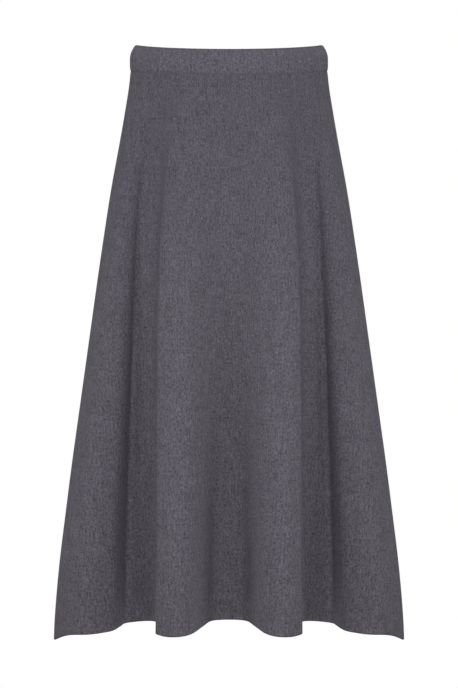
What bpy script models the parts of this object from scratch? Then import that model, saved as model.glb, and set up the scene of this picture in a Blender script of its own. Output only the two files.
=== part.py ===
"""An A-line maxi skirt in thick heathered knit, filled out as if it were worn.

Two flared panels, front and back, meet in side seams and hang from an elasticated waistband.
The origin is the middle of the waist opening, level with the top of the band at the side seams.
+Z is up, -Y is the front, and +X is to the right of someone who looks at the front. Metres.
"""

import math
from collections import namedtuple

import bmesh
import bpy

# Driving dimensions.
BAND_HALF_WIDTH = 0.1465  # the waistband at its fullest, side to side
BAND_HALF_DEPTH = 0.0840  # the same, front to back
BAND_HEIGHT = 0.038  # as it is cut and folded
BAND_SIDE_HEIGHT = 0.0405  # as it stands at the side seams
BAND_CENTRE_HEIGHT = 0.0375  # and at the centre lines, where it is stretched most
BAND_THICKNESS = 0.0045  # two layers of knit with the elastic between them
BAND_ROLL_IN = 0.0080  # how far the top of the band curls towards the body
BAND_ROLL_HEIGHT = 0.020  # over this height
BAND_TUCK_IN = 0.0016  # how far the bottom of the band is drawn in by its seam
BAND_TUCK_HEIGHT = 0.009  # over this height
FRONT_DIP = 0.0190  # how far the waistline sinks at the centre front
BACK_DIP = 0.0060  # and at the centre back
DIP_SHARPNESS = 1.25  # how closely the dip keeps to the centre line
CENTRE_LENGTH = 0.837  # from the origin down to the hem at the centre front
CLOTH = 0.0020  # the thickness of the knit
SEAM_GAP = 0.0003  # between two pieces at a seam
SEAM_INSET = 0.0018  # the panels' top edge lies this far inside the band's fullest line
HEM_CREASE = 0.7  # how sharply the side seam folds at the hem, where 0 is round

# Half the skirt's width at each depth below the origin, down the side seam.
Outline = namedtuple("Outline", "drop half_width")
SIDE_OUTLINE = (
    Outline(0.041, 0.1447),
    Outline(0.067, 0.1490),
    Outline(0.140, 0.1614),
    Outline(0.215, 0.1758),
    Outline(0.325, 0.1925),
    Outline(0.473, 0.2132),
    Outline(0.621, 0.2340),
    Outline(0.769, 0.2526),
    Outline(0.843, 0.2590),
    Outline(0.879, 0.2606),
)

# Each panel's folds along half of the hem, from its centre line to the side seam.
# across: from the centre line. out: from the skirt's middle plane, forward or backward.
# sag: how much lower than CENTRE_LENGTH the hem hangs. early: how much sooner than the
# side seam the fold reaches its place across. late: over 1 where it comes out, or sinks
# in, mostly near the hem, and under 1 where it already does so higher up.
Fold = namedtuple("Fold", "name across out sag early late")
FRONT_FOLDS = (
    Fold("centre_front", 0.0000, 0.0760, 0.0000, 0.0, 1.0),
    Fold("centre_floor", 0.0140, 0.0770, 0.0000, 0.0, 1.0),
    Fold("inner_foot", 0.0260, 0.0840, 0.0000, 0.4, 1.1),
    Fold("inner_flank", 0.0370, 0.1190, 0.0030, 2.0, 1.2),
    Fold("fold_shoulder", 0.0500, 0.1560, 0.0080, 3.4, 1.2),
    Fold("fold_crest", 0.0740, 0.1700, 0.0090, 3.4, 1.2),
    Fold("fold_turn", 0.0960, 0.1610, 0.0090, 3.4, 1.2),
    Fold("fold_edge", 0.1065, 0.1290, 0.0080, 3.3, 1.1),
    Fold("tuck", 0.0990, 0.0840, 0.0080, 3.2, 1.0),
    Fold("groove_foot", 0.1035, 0.0460, 0.0080, 2.6, 1.0),
    Fold("groove_floor", 0.1170, 0.0320, 0.0090, 2.1, 1.0),
    Fold("groove_bed", 0.1370, 0.0250, 0.0115, 1.6, 1.0),
    Fold("groove_crease", 0.1500, 0.0210, 0.0145, 1.2, 0.9),
    Fold("side_rise", 0.1558, 0.0390, 0.0155, 0.8, 0.9),
    Fold("side_flank", 0.1655, 0.0580, 0.0180, 0.5, 1.0),
    Fold("side_shoulder", 0.1810, 0.0725, 0.0200, 0.3, 1.0),
    Fold("side_crest", 0.2070, 0.0785, 0.0220, 0.3, 1.0),
    Fold("side_slope", 0.2340, 0.0620, 0.0235, 0.1, 1.0),
    Fold("side_turn", 0.2530, 0.0300, 0.0355, 0.0, 1.0),
    Fold("side_seam", 0.2606, 0.0000, 0.0430, 0.0, 1.0),
)
BACK_FOLDS = (
    Fold("centre_back", 0.0000, 0.1500, 0.0040, 0.8, 1.0),
    Fold("centre_turn", 0.0240, 0.1420, 0.0040, 1.0, 1.0),
    Fold("centre_flank", 0.0370, 0.1120, 0.0030, 1.2, 1.1),
    Fold("hollow_foot", 0.0450, 0.0780, 0.0010, 1.6, 1.1),
    Fold("hollow_floor", 0.0620, 0.0600, 0.0010, 2.0, 1.1),
    Fold("hollow_rise", 0.0810, 0.0740, 0.0020, 2.2, 1.1),
    Fold("fold_flank", 0.0910, 0.1090, 0.0050, 2.4, 1.1),
    Fold("fold_shoulder", 0.1040, 0.1380, 0.0070, 2.4, 1.1),
    Fold("fold_crest", 0.1250, 0.1460, 0.0080, 2.2, 1.1),
    Fold("fold_turn", 0.1440, 0.1320, 0.0080, 2.2, 1.1),
    Fold("fold_edge", 0.1500, 0.0980, 0.0090, 2.0, 1.0),
    Fold("tuck", 0.1500, 0.0620, 0.0100, 1.6, 1.0),
    Fold("groove_foot", 0.1630, 0.0360, 0.0120, 1.2, 1.0),
    Fold("groove_rise", 0.1840, 0.0360, 0.0150, 0.8, 1.0),
    Fold("side_flank", 0.2020, 0.0560, 0.0170, 0.6, 1.0),
    Fold("side_crest", 0.2270, 0.0660, 0.0210, 0.2, 1.0),
    Fold("side_turn", 0.2530, 0.0330, 0.0355, 0.0, 1.0),
    Fold("side_seam", 0.2606, 0.0000, 0.0430, 0.0, 1.0),
)

COLUMNS_A_FOLD = 2  # columns of faces between two rows of a table of folds
ROWS = 16  # rows of faces from the band down to the hem
BAND_COLUMNS = 80
BAND_END_STEPS = 2  # faces round half of the band's rounded top or bottom, twice
BAND_SIDE_STEPS = 3  # faces down each side of the band
ARC_STEPS = 240  # short chords that measure a quarter of the waist

KNIT_COLOUR = (0.093, 0.085, 0.103, 1.0)
BAND_COLOUR = (0.101, 0.092, 0.111, 1.0)
KNIT_ROUGHNESS = 0.92


def clear_scene():
    for obj in list(bpy.data.objects):
        bpy.data.objects.remove(obj, do_unlink=True)


def collection(name):
    made = bpy.data.collections.new(name)
    bpy.context.scene.collection.children.link(made)
    return made


def cloth_material(name, colour):
    material = bpy.data.materials.new(name)
    material.use_nodes = True
    shader = material.node_tree.nodes["Principled BSDF"]
    shader.inputs["Base Color"].default_value = colour
    shader.inputs["Roughness"].default_value = KNIT_ROUGHNESS
    shader.inputs["Metallic"].default_value = 0.0
    return material


def mix(start, end, share):
    return start + (end - start) * share


def between(rows, key, value, wanted):
    """Straight interpolation of one column of a table by another, which runs upwards."""
    for low, high in zip(rows, rows[1:]):
        if getattr(high, key) >= value:
            break
    span = getattr(high, key) - getattr(low, key)
    share = min(max((value - getattr(low, key)) / span, 0.0), 1.0)
    return mix(getattr(low, wanted), getattr(high, wanted), share)


def smooth_half_width(drop):
    """Half the skirt's width at this depth, averaged over a short stretch to take out the table's corners."""
    reach = 0.03
    samples = (-1.0, -0.5, 0.0, 0.5, 1.0)
    return sum(between(SIDE_OUTLINE, "drop", drop + reach * s, "half_width") for s in samples) / len(samples)


def waistline_dip(lean, facing):
    """How far the waistline lies below the origin's level. lean is 0 at the side seams and 1 at the centre line."""
    deepest = FRONT_DIP if facing < 0 else BACK_DIP
    return deepest * min(abs(lean), 1.0) ** DIP_SHARPNESS


def band_height(lean):
    """How tall the band stands, by the same lean."""
    return mix(BAND_SIDE_HEIGHT, BAND_CENTRE_HEIGHT, abs(lean))


def quarter_ellipse(half_width, half_depth, shares):
    """Points (across, out) at these shares of the arc from the centre line to the side seam."""
    points = []
    for step in range(ARC_STEPS + 1):
        angle = math.pi / 2 * step / ARC_STEPS
        points.append((half_width * math.sin(angle), half_depth * math.cos(angle)))
    travelled = [0.0]
    for before, after in zip(points, points[1:]):
        travelled.append(travelled[-1] + math.dist(before, after))
    found = []
    for share in shares:
        target = share * travelled[-1]
        step = next((i for i, length in enumerate(travelled) if length >= target), ARC_STEPS)
        step = max(step, 1)
        part = (target - travelled[step - 1]) / (travelled[step] - travelled[step - 1])
        part = min(part, 1.0)
        before, after = points[step - 1], points[step]
        found.append((mix(before[0], after[0], part), mix(before[1], after[1], part)))
    return found


def cloth_shares(folds):
    """Where each fold's cloth lies between the centre line, 0, and the side seam, 1."""
    travelled = [0.0]
    for before, after in zip(folds, folds[1:]):
        travelled.append(travelled[-1] + math.dist((before.across, before.out), (after.across, after.out)))
    return [length / travelled[-1] for length in travelled]


def section(folds, facing, down):
    """The folds' control points (x, y, z) at a share of the way down from the band, 0, to the hem, 1."""
    half_width, half_depth = BAND_HALF_WIDTH - SEAM_INSET, BAND_HALF_DEPTH - SEAM_INSET
    waist = quarter_ellipse(half_width, half_depth, cloth_shares(folds))
    seam = folds[-1]
    reached = smooth_half_width(mix(BAND_SIDE_HEIGHT, CENTRE_LENGTH + seam.sag, down))
    spread = (reached - half_width) / (seam.across - half_width)
    points = []
    for fold, (across, out) in zip(folds, waist):
        sideways = spread + fold.early * down * (1 - down) ** 2
        lean = out / half_depth
        start = -waistline_dip(lean, facing) - band_height(lean) - SEAM_GAP
        points.append((
            mix(across, fold.across, sideways),
            facing * mix(out, fold.out, down**fold.late),
            mix(start, -CENTRE_LENGTH - fold.sag, down),
        ))
    return points


def b_spline(before, start, end, after, share):
    """A point of the uniform cubic B-spline's span between start and end."""
    weights = (
        (1 - share) ** 3,
        3 * share**3 - 6 * share**2 + 4,
        -3 * share**3 + 3 * share**2 + 3 * share + 1,
        share**3,
    )
    return tuple(
        sum(w * p[axis] for w, p in zip(weights, (before, start, end, after))) / 6 for axis in range(3)
    )


def panel_row(folds, facing, down):
    """One row of a half panel's points, from the centre line to the side seam and one column past it."""
    points = section(folds, facing, down)
    first = (-points[1][0], points[1][1], points[1][2])
    last, inner = points[-1], points[-2]
    crease = HEM_CREASE * down
    rounded = (inner[0], -inner[1], inner[2])
    straight = tuple(2 * last[axis] - inner[axis] for axis in range(3))
    beyond = tuple(mix(rounded[axis], straight[axis], crease) for axis in range(3))
    controls = [first, *points, beyond]
    row = []
    for span in range(len(points) - 1):
        for step in range(COLUMNS_A_FOLD):
            row.append(b_spline(*controls[span : span + 4], step / COLUMNS_A_FOLD))
    seam = b_spline(*controls[-4:], 1.0)
    row[0] = (0.0, row[0][1], row[0][2])
    row.append((seam[0], 0.0, seam[2]))
    x, y, z = row[-2]
    row.append((x, -y, z))
    return row


def grid_mesh(name, rows, flipped):
    """An open surface through rows of points."""
    shape = bmesh.new()
    verts = [[shape.verts.new(point) for point in row] for row in rows]
    for upper, lower in zip(verts, verts[1:]):
        for i in range(len(upper) - 1):
            corners = (upper[i], lower[i], lower[i + 1], upper[i + 1])
            shape.faces.new(corners[::-1] if flipped else corners)
    mesh = bpy.data.meshes.new(name)
    shape.to_mesh(mesh)
    shape.free()
    return mesh


def seam_cutter(name, facing, cutters):
    """A block that holds everything past the side seams' plane, less half of the gap."""
    size = 2 * (CENTRE_LENGTH + BAND_HALF_WIDTH)
    bpy.ops.mesh.primitive_cube_add(size=size)
    cutter = bpy.context.object
    cutter.name = name
    cutter.location = (0.0, -facing * (size / 2 - SEAM_GAP / 2), -CENTRE_LENGTH / 2)
    for other in cutter.users_collection:
        other.objects.unlink(cutter)
    cutters.objects.link(cutter)
    cutter.display_type = "WIRE"
    cutter.hide_render = True
    return cutter


def panel(name, folds, facing, material, parts, cutters):
    """The front or back of the skirt: half of it lofted, mirrored, thickened and cut at the side seams."""
    rows = [panel_row(folds, facing, j / ROWS) for j in range(ROWS + 1)]
    mesh = grid_mesh(name, rows, flipped=facing > 0)
    obj = bpy.data.objects.new(name, mesh)
    parts.objects.link(obj)
    mesh.materials.append(material)

    mirror = obj.modifiers.new("other_half", "MIRROR")
    mirror.use_axis = (True, False, False)
    mirror.merge_threshold = 0.0001

    wall = obj.modifiers.new("cloth", "SOLIDIFY")
    wall.thickness = CLOTH
    wall.offset = -1.0
    wall.use_even_offset = True
    wall.use_quality_normals = True

    trim = obj.modifiers.new("side_seams", "BOOLEAN")
    trim.operation = "DIFFERENCE"
    trim.solver = "EXACT"
    trim.object = seam_cutter(name + "_cutter", facing, cutters)

    mesh.shade_smooth()
    return obj


def band_inset(depth):
    """How far the band's outer face lies inside its fullest line, at this depth below its top."""
    roll = max(1 - depth / BAND_ROLL_HEIGHT, 0.0) ** 2
    tuck = max((depth - BAND_HEIGHT + BAND_TUCK_HEIGHT) / BAND_TUCK_HEIGHT, 0.0) ** 2
    return BAND_ROLL_IN * roll + BAND_TUCK_IN * tuck


def band_profile():
    """The band's upright section as a loop of (inset, depth): outer face down, inner face up."""
    radius = BAND_THICKNESS / 2
    loop = []
    for end, middle in ((0.0, radius), (math.pi, BAND_HEIGHT - radius)):
        for step in range(2 * BAND_END_STEPS + 1):
            angle = end - math.pi / 2 + math.pi * step / (2 * BAND_END_STEPS)
            loop.append((radius - radius * math.sin(angle), middle - radius * math.cos(angle)))
        start, stop = loop[-1][1], BAND_HEIGHT - loop[-1][1]
        for step in range(1, BAND_SIDE_STEPS):
            share = step / BAND_SIDE_STEPS
            loop.append((loop[-1][0], mix(start, stop, share)))
    return [(inset + band_inset(depth), depth) for inset, depth in loop]


def waistband(name, material, parts):
    """A soft elasticated ring, lofted round the waist from copies of one upright section."""
    profile = band_profile()
    shape = bmesh.new()
    rings = []
    for column in range(BAND_COLUMNS):
        angle = 2 * math.pi * column / BAND_COLUMNS
        across, out = math.sin(angle), -math.cos(angle)
        normal_x, normal_y = across / BAND_HALF_WIDTH, out / BAND_HALF_DEPTH
        length = math.hypot(normal_x, normal_y)
        dip, stretch = waistline_dip(out, out), band_height(out) / BAND_HEIGHT
        rings.append([
            shape.verts.new((
                across * BAND_HALF_WIDTH - inset * normal_x / length,
                out * BAND_HALF_DEPTH - inset * normal_y / length,
                -dip - depth * stretch,
            ))
            for inset, depth in profile
        ])
    for ring, following in zip(rings, rings[1:] + rings[:1]):
        for i in range(len(profile)):
            after = (i + 1) % len(profile)
            shape.faces.new((ring[i], ring[after], following[after], following[i]))
    bmesh.ops.recalc_face_normals(shape, faces=shape.faces)
    mesh = bpy.data.meshes.new(name)
    shape.to_mesh(mesh)
    shape.free()
    obj = bpy.data.objects.new(name, mesh)
    parts.objects.link(obj)
    mesh.materials.append(material)
    mesh.shade_smooth()
    return obj


def main():
    clear_scene()
    parts = collection("a_line_maxi_skirt")
    cutters = collection("cutters")
    knit = cloth_material("heathered_knit", KNIT_COLOUR)
    band_knit = cloth_material("waistband_knit", BAND_COLOUR)
    panel("front_panel", FRONT_FOLDS, -1, knit, parts, cutters)
    panel("back_panel", BACK_FOLDS, 1, knit, parts, cutters)
    waistband("waistband", band_knit, parts)


main()
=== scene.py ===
"""An A-line maxi skirt in heathered knit, hollow and filled out as if it were worn.

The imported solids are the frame. The pieces made here repeat their sizes and stand for them, with the
creases, the seams, the turned-up hem and the yarn. The origin is the middle of the waist opening, level
with the top of the waistband at the side seams. +Z is up and -Y is the front. Lengths are in metres.
"""

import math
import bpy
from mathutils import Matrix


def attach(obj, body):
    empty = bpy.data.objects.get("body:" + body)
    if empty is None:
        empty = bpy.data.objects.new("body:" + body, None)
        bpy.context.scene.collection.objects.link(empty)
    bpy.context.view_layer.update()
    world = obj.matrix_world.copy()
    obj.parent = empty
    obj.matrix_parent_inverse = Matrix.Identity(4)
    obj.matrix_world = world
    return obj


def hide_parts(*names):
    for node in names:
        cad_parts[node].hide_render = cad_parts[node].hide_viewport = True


bl_info = {
    "name": "A-Line Knit Skirt",
    "version": (1, 0, 0),
    "blender": (4, 5, 0),
    "location": "3D View > Sidebar > Skirt",
    "description": "Makes a flared knit skirt with its waistband, seams and yarn, and a plain studio",
    "category": "Add Mesh",
}

from collections import namedtuple

import bmesh
import bpy
import numpy as np
from bpy.props import FloatProperty, FloatVectorProperty, PointerProperty
from mathutils import Vector, noise

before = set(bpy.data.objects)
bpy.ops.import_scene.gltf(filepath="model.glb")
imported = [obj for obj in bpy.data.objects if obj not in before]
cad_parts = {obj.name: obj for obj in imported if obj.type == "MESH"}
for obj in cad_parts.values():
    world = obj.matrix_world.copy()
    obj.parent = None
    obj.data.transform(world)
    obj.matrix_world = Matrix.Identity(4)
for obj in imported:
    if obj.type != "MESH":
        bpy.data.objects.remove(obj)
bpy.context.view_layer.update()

# The skirt's own sizes, as its solids have them.
BAND_HALF_WIDTH = 0.1465
BAND_HALF_DEPTH = 0.0840
BAND_HEIGHT = 0.038  # of its section, which is stretched to the next two heights
BAND_SIDE_HEIGHT = 0.0405
BAND_CENTRE_HEIGHT = 0.0375
BAND_THICKNESS = 0.0045
BAND_ROLL_IN = 0.0080
BAND_ROLL_HEIGHT = 0.020
BAND_TUCK_IN = 0.0016
BAND_TUCK_HEIGHT = 0.009
FRONT_DIP = 0.0190  # how far the waistline sinks from the side seams to the middle
BACK_DIP = 0.0060
DIP_SHARPNESS = 1.25  # over 1, more of that lies near the middle
CENTRE_LENGTH = 0.837
SEAM_INSET = 0.0018  # from the band's outer face to the panels' at the waist seam
WAIST_HALF_WIDTH = BAND_HALF_WIDTH - SEAM_INSET
WAIST_HALF_DEPTH = BAND_HALF_DEPTH - SEAM_INSET
HEM_CREASE = 0.7  # how sharply the panels meet at the ends of the hem, from 0, rounded, to 1
PANEL_LENGTH = 0.845  # of the cloth from the waist seam to the fold of the hem, at its longest
OUTLINE_REACH = 0.03  # how far up and down the outline is averaged, to round its corners

# Half the skirt's width at each depth below the origin, down the side seam.
Outline = namedtuple("Outline", "drop half_width")
SIDE_OUTLINE = (
    Outline(0.041, 0.1447),
    Outline(0.067, 0.1490),
    Outline(0.140, 0.1614),
    Outline(0.215, 0.1758),
    Outline(0.325, 0.1925),
    Outline(0.473, 0.2132),
    Outline(0.621, 0.2340),
    Outline(0.769, 0.2526),
    Outline(0.843, 0.2590),
    Outline(0.879, 0.2606),
)

# Each panel's folds along half of the hem, from its centre line to the side seam.
# across: from the centre line. out: from the skirt's middle plane. sag: how much lower than
# CENTRE_LENGTH the hem hangs. early: how much sooner than the side seam the fold reaches its
# place across. late: over 1 where it comes out mostly near the hem.
Fold = namedtuple("Fold", "name across out sag early late")
FRONT_FOLDS = (
    Fold("centre_front", 0.0000, 0.0760, 0.0000, 0.0, 1.0),
    Fold("centre_floor", 0.0140, 0.0770, 0.0000, 0.0, 1.0),
    Fold("inner_foot", 0.0260, 0.0840, 0.0000, 0.4, 1.1),
    Fold("inner_flank", 0.0370, 0.1190, 0.0030, 2.0, 1.2),
    Fold("fold_shoulder", 0.0500, 0.1560, 0.0080, 3.4, 1.2),
    Fold("fold_crest", 0.0740, 0.1700, 0.0090, 3.4, 1.2),
    Fold("fold_turn", 0.0960, 0.1610, 0.0090, 3.4, 1.2),
    Fold("fold_edge", 0.1065, 0.1290, 0.0080, 3.3, 1.1),
    Fold("tuck", 0.0990, 0.0840, 0.0080, 3.2, 1.0),
    Fold("groove_foot", 0.1035, 0.0460, 0.0080, 2.6, 1.0),
    Fold("groove_floor", 0.1170, 0.0320, 0.0090, 2.1, 1.0),
    Fold("groove_bed", 0.1370, 0.0250, 0.0115, 1.6, 1.0),
    Fold("groove_crease", 0.1500, 0.0210, 0.0145, 1.2, 0.9),
    Fold("side_rise", 0.1558, 0.0390, 0.0155, 0.8, 0.9),
    Fold("side_flank", 0.1655, 0.0580, 0.0180, 0.5, 1.0),
    Fold("side_shoulder", 0.1810, 0.0725, 0.0200, 0.3, 1.0),
    Fold("side_crest", 0.2070, 0.0785, 0.0220, 0.3, 1.0),
    Fold("side_slope", 0.2340, 0.0620, 0.0235, 0.1, 1.0),
    Fold("side_turn", 0.2530, 0.0300, 0.0355, 0.0, 1.0),
    Fold("side_seam", 0.2606, 0.0000, 0.0430, 0.0, 1.0),
)
BACK_FOLDS = (
    Fold("centre_back", 0.0000, 0.1500, 0.0040, 0.8, 1.0),
    Fold("centre_turn", 0.0240, 0.1420, 0.0040, 1.0, 1.0),
    Fold("centre_flank", 0.0370, 0.1120, 0.0030, 1.2, 1.1),
    Fold("hollow_foot", 0.0450, 0.0780, 0.0010, 1.6, 1.1),
    Fold("hollow_floor", 0.0620, 0.0600, 0.0010, 2.0, 1.1),
    Fold("hollow_rise", 0.0810, 0.0740, 0.0020, 2.2, 1.1),
    Fold("fold_flank", 0.0910, 0.1090, 0.0050, 2.4, 1.1),
    Fold("fold_shoulder", 0.1040, 0.1380, 0.0070, 2.4, 1.1),
    Fold("fold_crest", 0.1250, 0.1460, 0.0080, 2.2, 1.1),
    Fold("fold_turn", 0.1440, 0.1320, 0.0080, 2.2, 1.1),
    Fold("fold_edge", 0.1500, 0.0980, 0.0090, 2.0, 1.0),
    Fold("tuck", 0.1500, 0.0620, 0.0100, 1.6, 1.0),
    Fold("groove_foot", 0.1630, 0.0360, 0.0120, 1.2, 1.0),
    Fold("groove_rise", 0.1840, 0.0360, 0.0150, 0.8, 1.0),
    Fold("side_flank", 0.2020, 0.0560, 0.0170, 0.6, 1.0),
    Fold("side_crest", 0.2270, 0.0660, 0.0210, 0.2, 1.0),
    Fold("side_turn", 0.2530, 0.0330, 0.0355, 0.0, 1.0),
    Fold("side_seam", 0.2606, 0.0000, 0.0430, 0.0, 1.0),
)

# Creases laid into the cloth of each half panel, all down the fold that each one follows.
# top and end: metres of cloth below the waist seam, where an end past the hem runs off it.
# shift and drift: metres to the side of the fold, at the top and at the end.
# width: across the crease. height: over 0 for a ridge, under 0 for a trough.
Crease = namedtuple("Crease", "name beside top end shift drift width height")
FRONT_CREASES = (
    Crease("hip_line", "groove_crease", 0.040, 0.340, -0.003, 0.000, 0.016, -0.0010),
    Crease("groove_line", "groove_crease", 0.200, 1.100, -0.005, 0.005, 0.017, -0.0026),
    Crease("floor_line", "groove_floor", 0.060, 0.540, 0.002, 0.006, 0.028, -0.0055),
    Crease("hip_ridge", "groove_floor", 0.030, 0.260, -0.010, -0.014, 0.026, 0.0009),
    Crease("flank_ridge", "side_flank", 0.280, 1.050, 0.002, 0.006, 0.024, 0.0030),
    Crease("fold_lip", "fold_edge", 0.220, 1.150, -0.007, -0.024, 0.012, 0.0017),
    Crease("fold_tuck", "fold_edge", 0.200, 1.150, 0.006, 0.006, 0.020, -0.0026),
    Crease("thigh_ridge", "fold_crest", 0.110, 0.420, 0.002, -0.004, 0.034, 0.0014),
    Crease("bed_ridge", "groove_bed", 0.300, 0.760, -0.002, 0.001, 0.018, 0.0008),
    Crease("centre_line", "inner_foot", 0.560, 1.150, -0.004, 0.000, 0.020, -0.0003),
    Crease("side_dent", "side_slope", 0.620, 0.860, -0.010, 0.004, 0.040, -0.0010),
)
BACK_CREASES = (
    Crease("hip_line", "groove_foot", 0.050, 0.400, 0.002, 0.000, 0.018, -0.0014),
    Crease("groove_line", "groove_foot", 0.260, 1.120, 0.000, 0.002, 0.015, -0.0020),
    Crease("fold_lip", "fold_edge", 0.300, 1.150, -0.003, -0.002, 0.015, 0.0018),
    Crease("hollow_line", "hollow_foot", 0.240, 0.980, 0.004, 0.001, 0.016, -0.0016),
    Crease("seat_ridge", "centre_turn", 0.120, 0.460, 0.006, 0.000, 0.036, 0.0012),
    Crease("fold_ridge", "fold_crest", 0.200, 0.560, 0.002, -0.003, 0.030, 0.0010),
    Crease("side_dent", "side_crest", 0.560, 0.900, 0.004, -0.006, 0.040, -0.0012),
)

# facing: -1 for the panel on the -Y side, 1 for the other. seed: of its soft waves.
PanelForm = namedtuple("PanelForm", "name facing folds creases seed")
FRONT = PanelForm("front", -1, FRONT_FOLDS, FRONT_CREASES, 3.0)
BACK = PanelForm("back", 1, BACK_FOLDS, BACK_CREASES, 11.0)

CREASE_FADE = 0.3  # share of a crease over which it fades in at its top and out at its end
SEAM_FADE = 0.020  # cloth beside a side seam over which creases and waves fade out
WAVES_FULL_AT = 0.08  # share of the way down a panel over which its soft waves grow
Wave = namedtuple("Wave", "share across along offset")  # its part of the height, its lengths, its noise
WAVES = (Wave(1.0, 0.030, 0.110, 0.0), Wave(0.5, 0.013, 0.050, 7.0))

# How finely the panels' meshes are divided.
ARC_STEPS = 400
COLUMNS_A_FOLD = 5
TURN_COLUMNS = 15  # from fold_turn to fold_edge, where the cloth bends most
SEAM_COLUMNS = 12  # the last fold's columns
SEAM_CROWDING = 1.8  # over 1, the last fold's columns lie closer together towards the side seam
PLACE_DIGITS = 6  # to which columns are told apart
ROWS = 132
TOP_ROWS = (0.0006, 0.0012, 0.0020, 0.0030, 0.0042)  # more rows below the waist seam
HEM_ROW_STEP = 0.0009  # between the rows at the hem's stitched edge and its fold
HEM_TURN_STEPS = 6  # round the fold of the hem
HEM_EDGE = 0.0018  # over which a panel thickens at the hem's stitched edge
SHARP_ANGLE = math.radians(60)  # faces that meet at more than this show an edge
TINY = 1e-12  # the least that a length may divide by

# The overlocked edges inside.
WAIST_STRIP_TOP = 0.0006  # below the waist seam
WAIST_STRIP_ROWS = 7
SIDE_STRIP_TOP = 1.4  # below the waist seam, in seam allowances
SIDE_STRIP_INSET = 0.0008  # from the side seam
SIDE_STRIP_COLUMNS = 6
SIDE_STRIP_ROWS = 120

# The waistband's mesh and its unevenness. A rate counts marks over half the oval's width or depth.
BAND_COLUMNS = 288
BAND_CORNER = 0.0005  # radius of the band's lower corners, sewn flush with the panels
BAND_CORNER_ROWS = 5
BAND_ROW_HEIGHT = 0.0021
NO_LENGTH = 1e-6  # a shorter step between two bends is none
PUCKER_HEIGHT = 0.00035
PUCKER_EDGE = 0.4  # share of its height that a pucker keeps at the band's edges
PUCKER_RATES = (14.0, 11.0)  # across and out
PUCKER_SEED = 2.0
SWAY_HEIGHT = 0.0005
SWAY_RATE = 3.0
SWAY_SEED = 9.0
DIMPLE_DROP = 0.0095  # of the shallow dent in the middle of the band's front, below its top
DIMPLE_DEPTH = 0.0022
DIMPLE_WIDTH = 0.030
DIMPLE_HEIGHT = 0.0050

# The knit's stitches.
UV_NAME = "cloth_metres"
WALE_FAN = 0.55  # how far the wales spread with the flare, from 0, all straight, to 1, like its seams
TRUE_WALES = 0.75  # the wales have their own width where a row is this share of the hem's length
COURSE_WANDER = 0.5  # how far the yarn strays along, as a share of its wander across
STITCH_CLIMB = 0.9  # courses that a stitch's arms would climb over a whole wale
STITCH_DEPTH = 0.38  # how far the arms of one stitch stand apart from the next one's
PURL_DEPTH = 0.3  # how far the wales show on the purl side
STITCH_PAINTED_SHADE = 0.12  # painted shade between the stitches: how much darker the knit is painted there
STITCH_RELIEF = 0.55
KNIT_BUMP = 0.5
EDGE_BUMP = 0.6
BUMP_DISTANCE = 0.0006

# The yarn's mottling in layers of noise: how long its marks are, what it adds to the yarn's shade and to
# the relief, and the noise's settings.
Mottle = namedtuple("Mottle", "across along weight relief detail roughness offset")
WANDER = Mottle(0.0040, 0.0120, 0.30, 0.00, 1.0, 0.55, 4.0)  # its weight is counted in wales
YARN_MOTTLES = (
    Mottle(0.0026, 0.0034, 1.35, 0.55, 2.0, 0.60, 0.0),  # grain
    Mottle(0.0022, 0.0110, 0.70, 0.00, 1.0, 0.55, 2.0),  # dashes
    Mottle(0.0030, 0.0450, 0.30, 0.00, 1.0, 0.55, 5.0),  # streaks
    Mottle(0.0140, 0.0350, 0.22, 0.00, 1.0, 0.55, 8.0),  # slow drift
    Mottle(0.0007, 0.0040, 0.35, 0.40, 1.0, 0.60, 11.0),  # loose fibres
)
MIX_SLOPE = 0.75  # how much a small share of light yarn counts
MIX_LIFT = 0.60  # how much more a large one does
YARN_PLACES = (0.14, 0.34, 0.70, 0.82)  # down the cloth: waist yarn, light yarn twice, hem yarn

# Painted shade: how much less light yarn the knit is painted with to darken it, and the places along the
# cloth between which that comes on.
Shading = namedtuple("Shading", "less none full")
PANEL_PAINTED_SHADE = (
    Shading(0.14, PANEL_LENGTH - 0.0030, PANEL_LENGTH),  # painted shade in the fold of the hem
    Shading(0.06, 0.42, 0.02),  # painted shade, darker towards the waist
    Shading(0.04, 0.66, 0.84),  # painted shade, darker towards the hem
)
BAND_PAINTED_SHADE = (Shading(0.14, 0.0090, 0.0060),)  # painted shade along the band's top edge
KNIT_FINISH = {
    "Roughness": 0.94,
    "Specular IOR Level": 0.2,
    "Sheen Weight": 0.06,
    "Sheen Roughness": 0.5,
    "Sheen Tint": (0.82, 0.78, 0.90, 1.0),
}

# The overlock stitch.
THREAD_PITCH = 0.0030
THREAD_SLANT = 0.35  # how far a thread sways along the edge, in pitches
THREAD_RISE = (0.25, 0.8)  # from -1 to 1, the part of a wave over which a thread comes up
THREAD_COVER = 0.8
EDGE_MOTTLE = Mottle(0.0022, 0.0030, 1.3, 0.5, 2.0, 0.60, 0.0)
EDGE_FINISH = {"Roughness": 0.85, "Specular IOR Level": 0.3}

# The studio.
WHITE = (1.0, 1.0, 1.0, 1.0)
FLOOR_FADE = (0.14, 0.42)  # how far from its middle the floor begins to fade, and where it is gone
FLOOR_FINISH = {
    "Base Color": (0.6, 0.6, 0.6, 1.0),
    "Roughness": 0.9,
    "Specular IOR Level": 0.0,
    "Emission Color": WHITE,
    "Emission Strength": 0.64,
}
BACKDROP_RADIUS = 9.0
Softbox = namedtuple("Softbox", "name place size power")
SOFTBOXES = (
    Softbox("front_softbox", (0, -2.8, 0.2), (1.8, 1.2), "front_power"),
    Softbox("back_softbox", (0, 2.8, 0.9), (2.4, 1.2), "back_power"),
    Softbox("top_softbox", (0, 0, 2.2), (1.6, 1.6), "top_power"),
    Softbox("left_softbox", (-2.6, -1.3, 0.0), (1.0, 1.8), "side_power"),
    Softbox("right_softbox", (2.6, -1.3, 0.0), (1.0, 1.8), "side_power"),
)
InsideLight = namedtuple("InsideLight", "name height share")
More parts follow.
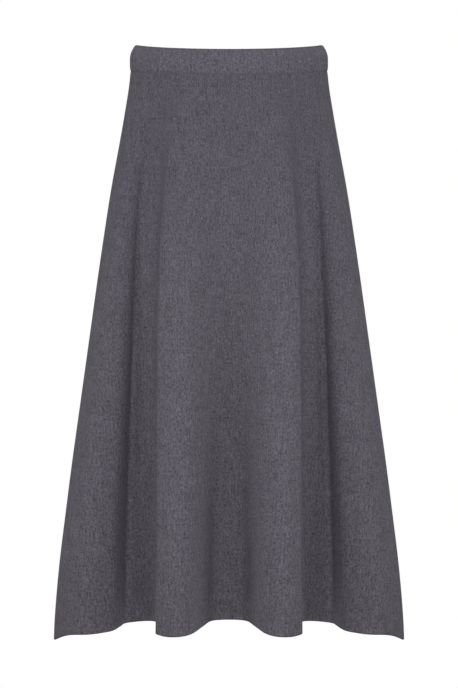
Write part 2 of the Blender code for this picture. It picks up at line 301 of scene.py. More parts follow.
INSIDE_LIGHTS = (
    InsideLight("inside_high", -0.14, 0.14),
    InsideLight("inside_middle", -0.42, 0.28),
    InsideLight("inside_low", -0.72, 0.58),
)
INSIDE_LIGHT_RADIUS = 0.05


def mix(start, end, share):
    return start + (end - start) * share


def running_total(steps, axis=0):
    """The sum of the steps so far, from 0 before the first."""
    return np.insert(np.cumsum(steps, axis=axis), 0, 0.0, axis=axis)


def smooth_step(value):
    """0 below 0, 1 above 1, and a soft rise between."""
    share = np.clip(value, 0.0, 1.0)
    return share * share * (3 - 2 * share)


# -------- sizes and colours


class SkirtSizes(bpy.types.PropertyGroup):
    """What a maker would change in the cloth and its sewing."""

    cloth: FloatProperty(
        name="Cloth", description="Thickness of the knit",
        default=0.0020, min=0.001, max=0.003, unit="LENGTH",
    )
    hem_depth: FloatProperty(
        name="Hem", description="Depth of the turned-up hem",
        default=0.022, min=0.01, max=0.04, unit="LENGTH",
    )
    hem_cloth: FloatProperty(
        name="Hem thickness", description="Thickness of the doubled hem", default=0.0036, unit="LENGTH"
    )
    seam_depth: FloatProperty(
        name="Seam depth", description="How far a seam sinks into the knit", default=0.0011, unit="LENGTH"
    )
    seam_width: FloatProperty(
        name="Seam width", description="How far a seam's dent reaches", default=0.0045, unit="LENGTH"
    )
    allowance: FloatProperty(
        name="Seam allowance", description="Width of the overlocked edge inside",
        default=0.009, unit="LENGTH",
    )
    allowance_cloth: FloatProperty(
        name="Allowance thickness", description="Thickness of the overlocked edge",
        default=0.0024, unit="LENGTH",
    )
    seam_clearance: FloatProperty(
        name="Seam clearance", description="Between the overlocked edge and the panel",
        default=0.0003, unit="LENGTH",
    )
    crease_scale: FloatProperty(
        name="Creases", description="Scale of the creases' heights",
        default=1.0, min=0.0, max=2.0, subtype="FACTOR",
    )
    waist_seam_depth: FloatProperty(
        name="Waist seam depth", description="How far the waist seam sinks into the panels",
        default=0.0001, unit="LENGTH",
    )
    unevenness: FloatProperty(
        name="Unevenness", description="Height of the cloth's soft waviness",
        default=0.0006, unit="LENGTH",
    )
    wale: FloatProperty(
        name="Wale", description="Width of one column of stitches", default=0.00165, unit="LENGTH"
    )
    course: FloatProperty(
        name="Course", description="Height of one row of stitches", default=0.00125, unit="LENGTH"
    )


class SkirtColours(bpy.types.PropertyGroup):
    """The yarn's colours and how strongly they are mixed."""

    waist_yarn: FloatVectorProperty(
        name="Yarn at the waist", description="Colour of the pale fibres in the band and below it",
        default=(0.179, 0.167, 0.2025), subtype="COLOR",
    )
    light_yarn: FloatVectorProperty(
        name="Light yarn", description="Colour of the pale fibres",
        default=(0.179, 0.167, 0.196), subtype="COLOR",
    )
    hem_yarn: FloatVectorProperty(
        name="Yarn at the hem", description="Colour of the pale fibres near the hem",
        default=(0.184, 0.167, 0.196), subtype="COLOR",
    )
    dark_yarn: FloatVectorProperty(
        name="Dark yarn", description="Colour of the dark fibres",
        default=(0.031, 0.028, 0.0365), subtype="COLOR",
    )
    knit_tone: FloatProperty(
        name="Knit tone", description="Share of light yarn in the panels",
        default=0.42, min=0.0, max=1.0, subtype="FACTOR",
    )
    band_tone: FloatProperty(
        name="Band tone", description="Share of light yarn in the stretched waistband",
        default=0.42, min=0.0, max=1.0, subtype="FACTOR",
    )
    thread: FloatVectorProperty(
        name="Thread", description="Colour of the overlock thread",
        default=(0.060, 0.056, 0.068), subtype="COLOR",
    )
    heather: FloatProperty(
        name="Heather", description="Contrast between light and dark yarn",
        default=0.69, min=0.0, max=2.0, subtype="FACTOR",
    )


class StudioSettings(bpy.types.PropertyGroup):
    """Where the camera stands and how bright the studio is."""

    camera_distance: FloatProperty(
        name="Camera distance", description="From the skirt's middle", default=2.4, unit="LENGTH"
    )
    camera_height: FloatProperty(
        name="Camera height", description="Above the origin", default=-0.442, unit="LENGTH"
    )
    view_height: FloatProperty(
        name="View height", description="What the picture's height spans at the skirt",
        default=1.0175, unit="LENGTH",
    )
    floor_height: FloatProperty(
        name="Floor height", description="Where the floor lies", default=-1.04, unit="LENGTH"
    )
    front_power: FloatProperty(
        name="Front light", description="Power of the large light in front", default=66.0, unit="POWER"
    )
    back_power: FloatProperty(
        name="Back light", description="Power of the large light behind", default=80.0, unit="POWER"
    )
    top_power: FloatProperty(
        name="Top light", description="Power of the light above", default=15.0, unit="POWER"
    )
    inside_power: FloatProperty(
        name="Inside lights", description="Power of the three small lights inside the skirt",
        default=1.6, unit="POWER",
    )
    side_power: FloatProperty(
        name="Side lights", description="Power of each light at the side", default=33.0, unit="POWER"
    )
    sky: FloatProperty(
        name="Surroundings", description="Brightness of the light from all round", default=0.25, min=0.0
    )


# -------- the skirt's form


def half_width(drop):
    """Half the skirt's width at this depth, averaged over a short stretch of the outline."""
    drops = [row.drop for row in SIDE_OUTLINE]
    widths = [row.half_width for row in SIDE_OUTLINE]
    nearby = OUTLINE_REACH * np.linspace(-1, 1, 5)
    return np.mean([np.interp(drop + step, drops, widths) for step in nearby], axis=0)


def waistline_dip(lean, facing):
    """How far the waistline lies below the origin. lean: 0 at the side seams, 1 at the centre line."""
    deepest = np.where(np.asarray(facing) < 0, FRONT_DIP, BACK_DIP)
    return deepest * np.minimum(np.abs(lean), 1.0) ** DIP_SHARPNESS


def band_height(lean):
    return mix(BAND_SIDE_HEIGHT, BAND_CENTRE_HEIGHT, np.abs(lean))


def quarter_waist(shares):
    """How far across and out the waist lies, at these shares of its arc from centre line to side seam."""
    angle = np.linspace(0, math.pi / 2, ARC_STEPS + 1)
    across, out = WAIST_HALF_WIDTH * np.sin(angle), WAIST_HALF_DEPTH * np.cos(angle)
    travelled = running_total(np.hypot(np.diff(across), np.diff(out)))
    at = np.asarray(shares) * travelled[-1]
    return np.interp(at, travelled, across), np.interp(at, travelled, out)


def fold_column(folds, key):
    return np.array([getattr(fold, key) for fold in folds])


def cloth_shares(folds):
    """Where each fold's cloth lies between the centre line, 0, and the side seam, 1."""
    steps = np.hypot(np.diff(fold_column(folds, "across")), np.diff(fold_column(folds, "out")))
    travelled = running_total(steps)
    return travelled / travelled[-1]


def control_rows(form, down):
    """The folds' control points, rows x folds x 3. down: 0 at the band and 1 at the hem."""
    folds, facing = form.folds, form.facing
    across, out = quarter_waist(cloth_shares(folds))
    down = down[:, None]
    seam = folds[-1]
    reached = half_width(mix(BAND_SIDE_HEIGHT, CENTRE_LENGTH + seam.sag, down))
    spread = (reached - WAIST_HALF_WIDTH) / (seam.across - WAIST_HALF_WIDTH)
    sideways = spread + fold_column(folds, "early") * down * (1 - down) ** 2
    lean = out / WAIST_HALF_DEPTH
    start = -waistline_dip(lean, facing) - band_height(lean)
    x = mix(across, fold_column(folds, "across"), sideways)
    y = facing * mix(out, fold_column(folds, "out"), down ** fold_column(folds, "late"))
    z = mix(start, -CENTRE_LENGTH - fold_column(folds, "sag"), down)
    return np.stack((x, y, z), axis=-1)


def half_surface(form, down, places):
    """The half panel's smooth outer face: a cubic B-spline over its folds, at these places along them."""
    controls = control_rows(form, down)
    first = controls[:, 1:2] * (-1, 1, 1)
    last, inner = controls[:, -1:], controls[:, -2:-1]
    crease = (HEM_CREASE * down)[:, None, None]
    beyond = mix(inner * (1, -1, 1), 2 * last - inner, crease)
    controls = np.concatenate((first, controls, beyond), axis=1)
    span = np.minimum(places.astype(int), len(form.folds) - 2)
    share = (places - span)[None, :, None]
    weights = (
        (1 - share) ** 3,
        3 * share**3 - 6 * share**2 + 4,
        -3 * share**3 + 3 * share**2 + 3 * share + 1,
        share**3,
    )
    points = sum(weight * controls[:, span + i] for i, weight in enumerate(weights)) / 6
    points[:, 0, 0] = 0.0
    points[:, -1, 1] = 0.0
    return points


def travelled_across(points):
    """Metres of cloth from the first column, along each row."""
    return running_total(np.linalg.norm(np.diff(points, axis=1), axis=2), axis=1)


def unit(vectors):
    lengths = np.linalg.norm(vectors, axis=-1, keepdims=True)
    return vectors / np.maximum(lengths, TINY)


def outward_normals(points, facing):
    """Unit normals of a grid of points, out of the skirt at its middle column."""
    across, along = np.gradient(points, axis=1), np.gradient(points, axis=0)
    normals = unit(np.cross(across, along))
    middle = normals[len(normals) // 2, normals.shape[1] // 2]
    return normals if middle[1] * facing > 0 else -normals


def crease_heights(form, down, places, arc):
    """How far the listed creases lift or sink each point of a half panel."""
    names = [fold.name for fold in form.folds]
    heights = np.zeros_like(arc)
    for crease in form.creases:
        followed = names.index(crease.beside)
        middle = np.array([np.interp(followed, places, row) for row in arc])
        run = (down * PANEL_LENGTH - crease.top) / (crease.end - crease.top)
        fade = smooth_step(run / CREASE_FADE) * smooth_step((1 - run) / CREASE_FADE)
        away = arc - (middle + mix(crease.shift, crease.drift, np.clip(run, 0, 1)))[:, None]
        heights += crease.height * fade[:, None] * np.exp(-((2 * away / crease.width) ** 2))
    return heights


def soft_waves(arc, down, height, seed):
    """Low uneven waves, longer down the cloth than across it."""
    waves = np.zeros_like(arc)
    for row, col in np.ndindex(arc.shape):
        across, along = abs(arc[row, col]), down[row] * PANEL_LENGTH
        for wave in WAVES:
            place = Vector((across / wave.across, along / wave.along, seed + wave.offset))
            waves[row, col] += wave.share * noise.noise(place)
    return height * waves * smooth_step(down / WAVES_FULL_AT)[:, None]


def column_places(folds):
    """Where a half panel's columns of points lie, counted in folds from its centre line."""
    spans = len(folds) - 1
    even = np.arange(0, spans - 1, 1 / COLUMNS_A_FOLD)
    turn = [fold.name for fold in folds].index("fold_turn")
    sharp = np.arange(turn, turn + 1, 1 / TURN_COLUMNS)
    closing = spans - (1 - np.linspace(0, 1, SEAM_COLUMNS + 1)) ** SEAM_CROWDING
    return np.unique(np.round(np.concatenate((even, sharp, closing)), PLACE_DIGITS))


def row_places(sizes):
    """Shares of the way down, closer together at the waist seam and round the turned-up hem."""
    bottom = 1 - sizes.hem_cloth / 2 / PANEL_LENGTH
    turn = bottom - sizes.hem_depth / PANEL_LENGTH
    step = HEM_ROW_STEP / PANEL_LENGTH
    extra = [drop / PANEL_LENGTH for drop in TOP_ROWS]
    extra += [turn + step * i for i in (-2, -1, 0, 1, 2)]
    extra += [bottom - step * i for i in (1, 3)]
    return np.unique(np.concatenate((np.linspace(0, bottom, ROWS + 1), extra)))


def panel_face(form, sizes, down):
    """A panel's whole outer face, for rows this far down: its points, and metres of cloth across."""
    places = column_places(form.folds)
    half = half_surface(form, down, places)
    arc = travelled_across(half)
    lift = sizes.crease_scale * crease_heights(form, down, places, arc)
    lift += soft_waves(arc, down, sizes.unevenness, form.seed)
    to_seam = arc[:, -1:] - arc
    lift *= smooth_step(to_seam / SEAM_FADE)
    lift -= sizes.seam_depth * np.clip(1 - to_seam / sizes.seam_width, 0, 1) ** 2
    from_waist = (down * PANEL_LENGTH)[:, None]
    lift -= sizes.waist_seam_depth * np.clip(1 - from_waist / sizes.seam_width, 0, 1) ** 2
    whole = np.concatenate((half[:, :0:-1] * (-1, 1, 1), half), axis=1)
    lift = np.concatenate((lift[:, :0:-1], lift), axis=1)
    arc = np.concatenate((-arc[:, :0:-1], arc), axis=1)
    return whole + outward_normals(whole, form.facing) * lift[..., None], arc


def wales(arc):
    """Where the cloth's columns of stitches lie, in metres across the flat cloth."""
    reach = arc[:, -1:]
    return arc * (reach[-1] * TRUE_WALES / reach) ** WALE_FAN


def surface_area(points):
    """Square metres of a grid of points."""
    across, along = np.diff(points, axis=1)[:-1], np.diff(points, axis=0)[:, :-1]
    return np.linalg.norm(np.cross(across, along), axis=2).sum()


def grid_object(name, points, places, material, ring=False):
    """A mesh through rows and columns of points. Its last row joins the first.

    places: each point's metres in the flat cloth, with a row more, and in a ring a column more.
    ring: the last column joins the first too. Otherwise each of the two has a cap.
    """
    shape = bmesh.new()
    layer = shape.loops.layers.uv.new(UV_NAME)
    verts = [[shape.verts.new(point) for point in row] for row in points]
    rows, columns = len(verts), len(verts[0])

    def add_face(corners, smooth=True):
        face = shape.faces.new([verts[r % rows][c % columns] for r, c in corners])
        face.smooth = smooth
        for loop, corner in zip(face.loops, corners):
            loop[layer].uv = places[corner]

    for r in range(rows):
        for c in range(columns if ring else columns - 1):
            add_face(((r, c), (r + 1, c), (r + 1, c + 1), (r, c + 1)))
    for c in () if ring else (0, columns - 1):
        for r in range(rows // 2 - 1):
            add_face(((r, c), (r + 1, c), (rows - 2 - r, c), (rows - 1 - r, c)), smooth=False)
        if rows % 2:
            add_face([(rows // 2 + step, c) for step in (-1, 0, 1)], smooth=False)
    bmesh.ops.recalc_face_normals(shape, faces=shape.faces)
    mesh = bpy.data.meshes.new(name)
    shape.to_mesh(mesh)
    shape.free()
    mesh.set_sharp_from_angle(angle=SHARP_ANGLE)
    mesh.materials.append(material)
    obj = bpy.data.objects.new(name, mesh)
    bpy.context.scene.collection.objects.link(obj)
    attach(obj, "root")
    return obj


def wall_thickness(down, sizes):
    """The knit's thickness down the panel, doubled over the turned-up hem."""
    turn = 1 - (sizes.hem_cloth / 2 + sizes.hem_depth) / PANEL_LENGTH
    edge = HEM_EDGE / PANEL_LENGTH
    return mix(sizes.cloth, sizes.hem_cloth, smooth_step((down - turn) / edge + 0.5))


def clear_of_middle(points, facing):
    """Keeps a panel's points on their own side of the side seams' plane, where the two panels meet."""
    points[..., 1] = np.maximum(points[..., 1] * facing, 0.0) * facing
    return points


def panel_wall(face, arc, down, facing, sizes):
    """Rows of points round the panel's wall: down its outer face, round the hem and up the inside."""
    normals = outward_normals(face, facing)
    tangent = unit(face[-1] - face[-2])
    radius = sizes.hem_cloth / 2
    rows = [*face]
    places = list(down * PANEL_LENGTH)
    for step in range(1, HEM_TURN_STEPS):
        angle = math.pi * step / HEM_TURN_STEPS
        rows.append(face[-1] + radius * (tangent * math.sin(angle) - normals[-1] * (1 - math.cos(angle))))
        places.append(PANEL_LENGTH + radius * angle)
    for row in range(len(face) - 1, -1, -1):
        rows.append(face[row] - normals[row] * wall_thickness(down[row], sizes))
        places.append(PANEL_LENGTH + math.pi * radius + (1 - down[row]) * PANEL_LENGTH)
    points = clear_of_middle(np.array(rows), facing)
    places.append(places[-1] + sizes.cloth)
    arcs = np.concatenate((arc, arc[-1:].repeat(HEM_TURN_STEPS - 1, axis=0), arc[::-1], arc[:1]))
    return points, np.stack((arcs, np.broadcast_to(np.array(places)[:, None], arcs.shape)), axis=-1)


def make_panel(name, node, form, material, sizes):
    """One panel of the skirt, hung from the waistband."""
    down = row_places(sizes)
    face, arc = panel_face(form, sizes, down)
    points, places = panel_wall(face, wales(arc), down, form.facing, sizes)
    obj = grid_object(name, points, places, material)
    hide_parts(node)
    area = surface_area(face)
    lengths = np.linalg.norm(np.diff(face, axis=0), axis=2).sum(axis=0)
    cut_width = 2 * area / lengths.mean() - 2 * arc[0, -1]


# -------- the seams inside


def strip_wall(face, outward, sizes):
    """Rows of points round a flat strip that lies on a panel's inner face."""
    near = face - outward * (sizes.cloth + sizes.seam_clearance)
    return np.concatenate((near, (near - outward * sizes.allowance_cloth)[::-1]))


def make_waist_allowance(name, form, material, sizes):
    """The overlocked edge of the waist seam, which lies down on the panel's inside."""
    down = np.linspace(WAIST_STRIP_TOP, sizes.allowance, WAIST_STRIP_ROWS) / PANEL_LENGTH
    face, arc = panel_face(form, sizes, down)
    strip = strip_wall(face, outward_normals(face, form.facing), sizes)
    points = clear_of_middle(strip, form.facing)
    along = np.concatenate((down, down[::-1] + down[-1], down[:1]))[:, None] * PANEL_LENGTH
    arcs = np.concatenate((arc, arc[::-1], arc[:1]))
    places = np.stack((np.broadcast_to(along, arcs.shape), arcs), axis=-1)
    obj = grid_object(name, points, places, material)


def make_side_allowance(name, side, form, material, sizes):
    """The overlocked edge of a side seam, pressed onto a panel's inside. side: -1 is the left one."""
    highest = SIDE_STRIP_TOP * sizes.allowance / PANEL_LENGTH
    lowest = 1 - (sizes.hem_depth + sizes.hem_cloth) / PANEL_LENGTH
    down = np.linspace(highest, lowest, SIDE_STRIP_ROWS)
    face, arc = panel_face(form, sizes, down)
    normals = outward_normals(face, form.facing)
    reach = np.linspace(SIDE_STRIP_INSET, sizes.allowance, SIDE_STRIP_COLUMNS)
    strip, outward = [], []
    for row in range(len(down)):
        at = side * (arc[row, -1] - reach)
        strip.append([np.interp(at, arc[row], face[row, :, axis]) for axis in range(3)])
        outward.append([np.interp(at, arc[row], normals[row, :, axis]) for axis in range(3)])
    strip, outward = (np.moveaxis(np.array(rows), 1, 2) for rows in (strip, outward))
    points = clear_of_middle(strip_wall(strip, unit(outward), sizes), form.facing)
    along = np.concatenate((down, down[::-1], down[:1]))[:, None] * PANEL_LENGTH
    across = np.tile(reach, (len(along), 1))
    places = np.stack((across, np.broadcast_to(along, across.shape)), axis=-1)
    obj = grid_object(name, points, places, material)


# -------- the waistband


def band_inset(depth):
    """How far the band's outer face lies inside its fullest line, at this depth below its top."""
    roll = np.maximum(1 - depth / BAND_ROLL_HEIGHT, 0.0) ** 2
    tuck = np.maximum((depth - BAND_HEIGHT + BAND_TUCK_HEIGHT) / BAND_TUCK_HEIGHT, 0.0) ** 2
    return BAND_ROLL_IN * roll + BAND_TUCK_IN * tuck


def band_profile():
    """The band's upright section, a loop of (inset, depth): over its top, down, under and up inside."""
    fold = BAND_THICKNESS / 2
    low, inner = BAND_HEIGHT - BAND_CORNER, BAND_THICKNESS - BAND_CORNER
    corners = (  # middle's inset and depth, radius, start in half turns
        (fold, fold, fold, -0.5),
        (fold, fold, fold, 0.0),
        (BAND_CORNER, low, BAND_CORNER, 0.5),
        (inner, low, BAND_CORNER, 1.0),
    )
    bends = []
    for inset, depth, radius, turn in corners:
        for step in range(BAND_CORNER_ROWS + 1):
            angle = math.pi * (turn + 0.5 * step / BAND_CORNER_ROWS)
            bends.append((inset - radius * math.sin(angle), depth - radius * math.cos(angle)))
    loop = []
    for start, stop in zip(bends, bends[1:] + bends[:1]):
        length = math.dist(start, stop)
        steps = max(math.ceil(length / BAND_ROW_HEIGHT), 1) if length > NO_LENGTH else 0
        for step in range(steps):
            loop.append((mix(start[0], stop[0], step / steps), mix(start[1], stop[1], step / steps)))
    return np.array(loop)


def make_waistband(name, material):
    """The folded casing: an upright section carried round the waist, softly uneven over its elastic."""
    inset, depth = band_profile().T
    inset = inset + band_inset(depth)
    angle = np.linspace(0, math.tau, BAND_COLUMNS, endpoint=False)
    across, out = np.sin(angle), -np.cos(angle)
    normal = unit(np.stack((across / BAND_HALF_WIDTH, out / BAND_HALF_DEPTH), axis=-1))
    rim = np.stack((across * BAND_HALF_WIDTH, out * BAND_HALF_DEPTH), axis=-1)
    around = running_total(np.linalg.norm(np.diff(rim, axis=0, append=rim[:1]), axis=1))
    dip, stretch = waistline_dip(out, out), band_height(out) / BAND_HEIGHT
    swell = np.sin(math.pi * np.clip(depth / BAND_HEIGHT, 0, 1))
    dimple = DIMPLE_DEPTH * np.exp(-(((depth - DIMPLE_DROP) / DIMPLE_HEIGHT) ** 2))
    rows = []
    for column in range(BAND_COLUMNS):
        x, y = across[column], out[column]
        pucker = noise.noise(Vector((abs(x) * PUCKER_RATES[0], y * PUCKER_RATES[1], PUCKER_SEED)))
        sway = noise.noise(Vector((x * SWAY_RATE, y * SWAY_RATE, SWAY_SEED)))
        middle = (y < 0) * math.exp(-((x * BAND_HALF_WIDTH / DIMPLE_WIDTH) ** 2))
        sunk = inset + middle * dimple
        sunk += PUCKER_HEIGHT * pucker * mix(PUCKER_EDGE, 1.0, swell) + SWAY_HEIGHT * sway * swell
        flat = rim[column] - normal[column] * sunk[:, None]
        high = -dip[column] - depth * stretch[column]
        rows.append(np.column_stack((flat, high)))
    loop = np.column_stack((inset, depth))
    down = running_total(np.linalg.norm(np.diff(loop, axis=0, append=loop[:1]), axis=1))
    places = np.stack(np.meshgrid(around, down, indexing="ij"), axis=-1)
    obj = grid_object(name, np.array(rows), places, material, ring=True)
    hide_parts("waistband")


# -------- materials


class Wire:
    """One output of a material's nodes. Sums, products and comparisons of wires add Math nodes."""

    def __init__(self, surface, socket):
        self.surface = surface
        self.socket = socket

    def maths(self, operation, *values, clamp=False):
        settings = {"operation": operation, "use_clamp": clamp}
        return self.surface.node("ShaderNodeMath", settings, dict(enumerate(values)))

    def __add__(self, other):
        return self.maths("ADD", self, other)

    __radd__ = __add__

    def __sub__(self, other):
        return self.maths("SUBTRACT", self, other)

    def __rsub__(self, other):
        return self.maths("SUBTRACT", other, self)

    def __mul__(self, other):
        return self.maths("MULTIPLY", self, other)

    __rmul__ = __mul__

    def __truediv__(self, other):
        return self.maths("DIVIDE", self, other)

    def __gt__(self, other):
        return self.maths("GREATER_THAN", self, other)

    def absolute(self):
        return self.maths("ABSOLUTE", self)

    def sine(self):
        return self.maths("SINE", self)

    def fraction(self):
        return self.maths("FRACT", self)

    def clamped(self):
        return self.maths("ADD", self, 0.0, clamp=True)


class Surface:
    """A material whose nodes are written as expressions."""

    def __init__(self, name):
        self.material = bpy.data.materials.new(name)
        self.material.use_nodes = True
        self.tree = self.material.node_tree
        self.tree.nodes.clear()
        self.output = self.tree.nodes.new("ShaderNodeOutputMaterial")

    def node(self, kind, settings=None, inputs=None, output=0):
        """Adds a node: its settings first, then the values or wires of its sockets, by name or number."""
        made = self.tree.nodes.new(kind)
        for key, value in (settings or {}).items():
            if key == "stops":
                ramp = made.color_ramp.elements
                for i, (position, colour) in enumerate(value):
                    stop = ramp[i] if i < 2 else ramp.new(position)
                    stop.position = position
                    stop.color = (*colour, 1.0)
            else:
                setattr(made, key, value)
        for key, value in (inputs or {}).items():
            if isinstance(value, Wire):
                self.tree.links.new(value.socket, made.inputs[key])
            else:
                made.inputs[key].default_value = value
        return Wire(self, made.outputs[output])

    def flat_place(self):
        """Metres across the flat cloth and along it."""
        place = self.node("ShaderNodeUVMap", {"uv_map": UV_NAME})
        across = self.node("ShaderNodeSeparateXYZ", None, {0: place})
        return across, Wire(self, across.socket.node.outputs[1])

    def mottle(self, row, across, along):
        """One layer of soft noise over the flat cloth, -0.5 to 0.5."""
        counts = {0: across / row.across, 1: along / row.along, 2: row.offset}
        place = self.node("ShaderNodeCombineXYZ", None, counts)
        settings = {"noise_dimensions": "3D", "normalize": True}
        inputs = {"Vector": place, "Scale": 1.0, "Detail": row.detail, "Roughness": row.roughness}
        return self.node("ShaderNodeTexNoise", settings, inputs) - 0.5

    def blend(self, factor, low, high):
        """A colour between two colours."""
        settings = {"data_type": "RGBA", "clamp_factor": True}
        return self.node("ShaderNodeMix", settings, {0: factor, 6: low, 7: high}, output=2)

    def soft_step(self, value, low, high):
        settings = {"interpolation_type": "SMOOTHSTEP"}
        inputs = {"Value": value, "From Min": low, "From Max": high}
        return self.node("ShaderNodeMapRange", settings, inputs)

    def relief(self, strength, height):
        inputs = {"Strength": strength, "Distance": BUMP_DISTANCE, "Height": height}
        return self.node("ShaderNodeBump", None, inputs)

    def principled(self, colour, normal, finish):
        inputs = {"Base Color": colour, "Normal": normal, **finish}
        return self.node("ShaderNodeBsdfPrincipled", None, inputs)

    def show(self, shader):
        """Makes this shader the material's surface, and hands the material over."""
        self.tree.links.new(shader.socket, self.output.inputs["Surface"])
        return self.material


def knit_material(name, tone, painted_shade, sizes, colours, turns_inside):
    """Fine stocking-stitch knit in a heathered yarn: V-shaped stitches, streaked yarns and loose fibres,
    with painted shade between the stitches and at places along the cloth.

    turns_inside: the cloth comes up again on the inside, where its purl side shows.
    """
    knit = Surface(name)
    across, along = knit.flat_place()
    wander = WANDER.weight * knit.mottle(WANDER, across, along)
    wale = across / sizes.wale + wander
    side = (wale.fraction() - 0.5).absolute()
    course = along / sizes.course + COURSE_WANDER * wander
    arm = (side * math.tau).sine()
    climb = ((course + STITCH_CLIMB * side) * math.tau).sine()
    stitch = arm * (1 - STITCH_DEPTH + STITCH_DEPTH * climb)
    if turns_inside:
        inside = along > PANEL_LENGTH + sizes.hem_cloth
        purl = (0.5 + 0.5 * (course * math.tau).sine()) * (1 - PURL_DEPTH + PURL_DEPTH * arm)
        stitch = stitch * (1 - inside) + purl * inside

    shade, height = 0.0, STITCH_RELIEF * stitch
    for row in YARN_MOTTLES:
        marks = knit.mottle(row, across, along)
        shade = shade + row.weight * marks
        if row.relief:
            height = height + row.relief * marks
    # Painted shade: less light yarn at the hem's fold, at the band's top edge, and towards the waist and
    # the hem.
    for row in painted_shade:
        tone = tone - row.less * knit.soft_step(along, row.none, row.full)
    # The stitch term paints shade between the stitches.
    share = (tone + colours.heather * shade - STITCH_PAINTED_SHADE * (1 - stitch)).clamped()
    share = share * (MIX_SLOPE + MIX_LIFT * share)
    yarns = (colours.waist_yarn, colours.light_yarn, colours.light_yarn, colours.hem_yarn)
    pale = knit.node("ShaderNodeValToRGB", {"stops": zip(YARN_PLACES, yarns)}, {0: along})
    mixed = knit.blend(share, (*colours.dark_yarn, 1.0), pale)
    return knit.show(knit.principled(mixed, knit.relief(KNIT_BUMP, height), KNIT_FINISH))


def overlock_material(name, tone, colours):
    """A cut edge of the knit under the slanting threads of an overlock stitch."""
    edge = Surface(name)
    across, along = edge.flat_place()
    grain = edge.mottle(EDGE_MOTTLE, across, along)
    slant = (along / THREAD_PITCH + THREAD_SLANT * (across / THREAD_PITCH).sine()) * math.tau
    thread = edge.soft_step(slant.sine(), *THREAD_RISE)
    share = (tone + colours.heather * EDGE_MOTTLE.weight * grain).clamped()
    knit = edge.blend(share, (*colours.dark_yarn, 1.0), (*colours.light_yarn, 1.0))
    mixed = edge.blend(THREAD_COVER * thread, knit, (*colours.thread, 1.0))
    bump = edge.relief(EDGE_BUMP, thread + EDGE_MOTTLE.relief * grain)
    return edge.show(edge.principled(mixed, bump, EDGE_FINISH))


def floor_material(name):
    """Plain and pale in the middle, and clearer towards its rim, so that the floor shows no edge."""
    floor = Surface(name)
    place = floor.node("ShaderNodeTexCoord", output=3)
    away = floor.node("ShaderNodeVectorMath", {"operation": "LENGTH"}, {0: place}, output=1)
    gone = floor.soft_step(away, *FLOOR_FADE)
    pale = floor.node("ShaderNodeBsdfPrincipled", None, FLOOR_FINISH)
    clear = floor.node("ShaderNodeBsdfTransparent")
    return floor.show(floor.node("ShaderNodeMixShader", None, {0: gone, 1: pale, 2: clear}))


def backdrop_material(name):
    backdrop = Surface(name)
    return backdrop.show(backdrop.node("ShaderNodeEmission", None, {"Color": WHITE, "Strength": 1.0}))


# -------- the studio


def make_floor(name, height):
    bpy.ops.mesh.primitive_circle_add(vertices=96, radius=FLOOR_FADE[1], fill_type="NGON")
    floor = bpy.context.object
    floor.name = name
    floor.location = (0, 0, height)
    floor.data.materials.append(floor_material("studio_floor"))


def make_backdrop(name):
    """A white sphere round everything, for the camera alone: it lights nothing."""
    bpy.ops.mesh.primitive_uv_sphere_add(segments=48, ring_count=24, radius=BACKDROP_RADIUS)
    backdrop = bpy.context.object
    backdrop.name = name
    backdrop.data.materials.append(backdrop_material("white_backdrop"))
    backdrop.visible_diffuse = backdrop.visible_glossy = backdrop.visible_shadow = False


def make_surroundings(name, strength):
    world = bpy.data.worlds.new(name)
    world.use_nodes = True
    background = world.node_tree.nodes["Background"]
    background.inputs["Color"].default_value = WHITE
    background.inputs["Strength"].default_value = strength
    return world


def add_light(name, kind, place, power):
    lamp = bpy.data.objects.new(name, bpy.data.lights.new(name, kind))
    lamp.data.energy = power
    lamp.location = place
    lamp.visible_camera = False
    bpy.context.scene.collection.objects.link(lamp)
    return lamp


def make_lights(studio):
    """Softboxes that face the skirt's middle, and small weak lights down its inside."""
    middle = Vector((0, 0, studio.camera_height))
    for name, place, size, power in SOFTBOXES:
        softbox = add_light(name, "AREA", place, getattr(studio, power))
        softbox.data.shape = "RECTANGLE"
        softbox.data.size, softbox.data.size_y = size
        softbox.rotation_euler = (middle - Vector(place)).to_track_quat("-Z", "Y").to_euler()
    for name, height, share in INSIDE_LIGHTS:
        glow = add_light(name, "POINT", (0, 0, height), share * studio.inside_power)
        glow.data.shadow_soft_size = INSIDE_LIGHT_RADIUS


def make_camera(name, studio):
    """Looks at the skirt's front, level, from straight ahead."""
    lens = bpy.data.cameras.new(name)
    lens.sensor_width = 36.0
    lens.lens = lens.sensor_width * studio.camera_distance / studio.view_height
    camera = bpy.data.objects.new(name, lens)
    camera.location = (0, -studio.camera_distance, studio.camera_height)
    camera.rotation_euler = (math.pi / 2, 0, 0)
    bpy.context.scene.collection.objects.link(camera)
    return camera


# -------- operators and panel


class SKIRT_OT_waistband(bpy.types.Operator):
    """Makes the elasticated waistband"""

    bl_idname = "skirt.waistband"
    bl_label = "Waistband"

    def execute(self, context):
        sizes, colours = context.scene.skirt_sizes, context.scene.skirt_colours
        tone = colours.band_tone
        knit = knit_material("waistband_knit", tone, BAND_PAINTED_SHADE, sizes, colours, turns_inside=False)
        make_waistband("waistband_knit", knit)
        return {"FINISHED"}


class SKIRT_OT_panels(bpy.types.Operator):
    """Makes the front and back panels, with their folds, creases and turned-up hem"""

    bl_idname = "skirt.panels"
    bl_label = "Front and back panels"

    def execute(self, context):
        sizes, colours = context.scene.skirt_sizes, context.scene.skirt_colours
        tone = colours.knit_tone
        knit = knit_material("heathered_knit", tone, PANEL_PAINTED_SHADE, sizes, colours, turns_inside=True)
        for form in (FRONT, BACK):
            make_panel(f"{form.name}_panel_knit", f"{form.name}_panel", form, knit, sizes)
        return {"FINISHED"}


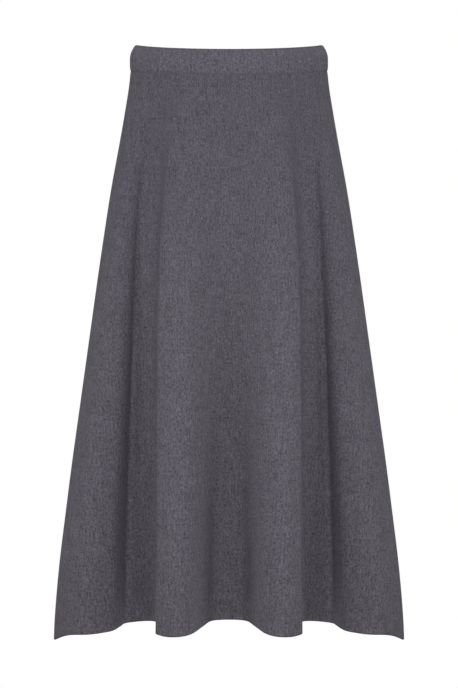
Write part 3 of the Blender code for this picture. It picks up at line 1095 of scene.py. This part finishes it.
class SKIRT_OT_inside_seams(bpy.types.Operator):
    """Makes the overlocked edges of the waist seam and the side seams, inside the skirt"""

    bl_idname = "skirt.inside_seams"
    bl_label = "Seams inside"

    def execute(self, context):
        sizes, colours = context.scene.skirt_sizes, context.scene.skirt_colours
        edge = overlock_material("overlocked_edge", colours.knit_tone, colours)
        for form in (FRONT, BACK):
            make_waist_allowance(f"{form.name}_waist_seam_inside", form, edge, sizes)
        for name, side in (("left", -1), ("right", 1)):
            make_side_allowance(f"{name}_side_seam_inside", side, BACK, edge, sizes)
        return {"FINISHED"}


class SKIRT_OT_stage(bpy.types.Operator):
    """Makes the floor, the white backdrop, the surroundings, the lights and the camera"""

    bl_idname = "skirt.stage"
    bl_label = "Studio"

    def execute(self, context):
        scene, studio = context.scene, context.scene.skirt_studio
        make_floor("floor", studio.floor_height)
        make_backdrop("backdrop")
        scene.world = make_surroundings("soft_surroundings", studio.sky)
        make_lights(studio)
        scene.camera = make_camera("camera", studio)
        scene.view_settings.view_transform = "Standard"
        return {"FINISHED"}


class SKIRT_PT_sidebar(bpy.types.Panel):
    """The skirt's pieces, sizes and colours"""

    bl_idname = "SKIRT_PT_sidebar"
    bl_label = "A-line knit skirt"
    bl_space_type = "VIEW_3D"
    bl_region_type = "UI"
    bl_category = "Skirt"

    def draw(self, context):
        for maker in MAKERS:
            self.layout.operator(maker.bl_idname)
        for group in GROUPS:
            box = self.layout.box()
            settings = getattr(context.scene, group)
            for key in settings.bl_rna.properties.keys():
                if key not in ("rna_type", "name"):
                    box.prop(settings, key)


MAKERS = (SKIRT_OT_waistband, SKIRT_OT_panels, SKIRT_OT_inside_seams, SKIRT_OT_stage)
GROUPS = {"skirt_sizes": SkirtSizes, "skirt_colours": SkirtColours, "skirt_studio": StudioSettings}


def register():
    for cls in (*GROUPS.values(), *MAKERS, SKIRT_PT_sidebar):
        bpy.utils.register_class(cls)
    for key, cls in GROUPS.items():
        setattr(bpy.types.Scene, key, PointerProperty(type=cls))


def unregister():
    for key in GROUPS:
        delattr(bpy.types.Scene, key)
    for cls in (SKIRT_PT_sidebar, *MAKERS, *GROUPS.values()):
        bpy.utils.unregister_class(cls)


def main():
    register()
    for maker in MAKERS:
        group, name = maker.bl_idname.split(".")
        if getattr(getattr(bpy.ops, group), name)() != {"FINISHED"}:
            raise RuntimeError(f"{maker.bl_idname} did not finish")


if __name__ == "__main__":
    main()
